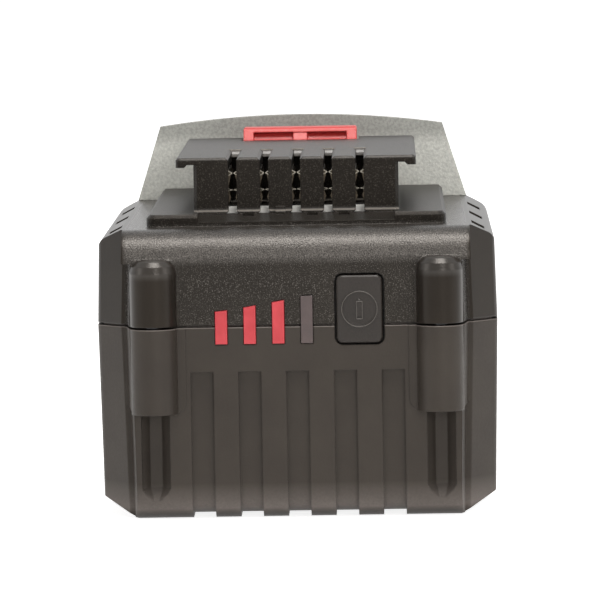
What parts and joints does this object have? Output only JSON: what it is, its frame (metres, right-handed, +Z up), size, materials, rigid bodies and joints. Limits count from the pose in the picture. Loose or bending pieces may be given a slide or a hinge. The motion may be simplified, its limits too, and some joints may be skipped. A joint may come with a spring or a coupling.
{
  "type": "power tool battery pack",
  "caption": "Slide-on battery pack for a cordless tool: T rail with terminal slots, charge gauge with button, sprung release latch.",
  "frame": {"origin": "middle of the underside, at the level that the pack stands on", "axes": "+X to the right seen from the gauge end, +Y from the gauge end to the release button end, +Z up"},
  "size_m": [0.0786, 0.1181, 0.0741],
  "materials": {
    "housing": "fine spark-eroded texture",
    "shield_grey": "coarse grain",
    "latch_red": "satin moulded",
    "lamp_lit": "clear red, lit",
    "lamp_unlit": "clear, unlit",
    "button_dark": "fine texture",
    "white_nylon": "natural nylon",
    "contact_metal": "tinned copper alloy",
    "cell_wrap": "shrink sleeve",
    "holder_black": "moulded",
    "nickel": "plain nickel strip",
    "board_green": "solder mask",
    "chip_black": "moulded epoxy",
    "led_white": "clear resin",
    "screw_steel": "blackened steel",
    "spring_steel": "drawn wire",
    "foam": "closed-cell foam"
  },
  "bodies": {
    "pack": {"upper_housing": "housing", "lower_housing": "housing", "end_shield": "shield_grey", "gauge_bar_1": "lamp_lit", "gauge_bar_2": "lamp_lit", "gauge_bar_3": "lamp_lit", "gauge_bar_4": "lamp_unlit", "terminal_block": "white_nylon", "terminal_1": "contact_metal", "terminal_2": "contact_metal", "terminal_3": "contact_metal", "terminal_4": "contact_metal", "terminal_5": "contact_metal", "cell_01": "cell_wrap", "cell_02": "cell_wrap", "cell_03": "cell_wrap", "cell_04": "cell_wrap", "cell_05": "cell_wrap", "cell_06": "cell_wrap", "cell_07": "cell_wrap", "cell_08": "cell_wrap", "cell_09": "cell_wrap", "cell_10": "cell_wrap", "cell_holder_left": "holder_black", "cell_holder_right": "holder_black", "bus_strips_left": "nickel", "bus_strips_right": "nickel", "power_tab_positive": "nickel", "power_tab_negative": "nickel", "control_board": "board_green", "board_chips": "chip_black", "board_screws": "screw_steel", "gauge_board": "board_green", "gauge_leds": "led_white", "gauge_header": "chip_black", "tactile_switch": "chip_black", "latch_spring_left": "spring_steel", "latch_spring_right": "spring_steel", "foam_pads": "foam", "housing_screws": "screw_steel"},
    "latch": {"release_latch": "latch_red"},
    "button": {"gauge_button": "button_dark", "switch_plunger": "white_nylon"}
  },
  "joints": [
    {"name": "latch_slide", "type": "slide", "parent": "pack", "child": "latch", "axis": [0, 0, -1], "range_m": [0, 0.004], "stiffness_N_per_m": 1500, "springref_m": -0.004, "deforming": ["latch_spring_left", "latch_spring_right"]},
    {"name": "button_press", "type": "slide", "parent": "pack", "child": "button", "axis": [0, 1, 0], "range_m": [0, 0.0008], "stiffness_N_per_m": 1500, "springref_m": -0.0005}
  ]
}
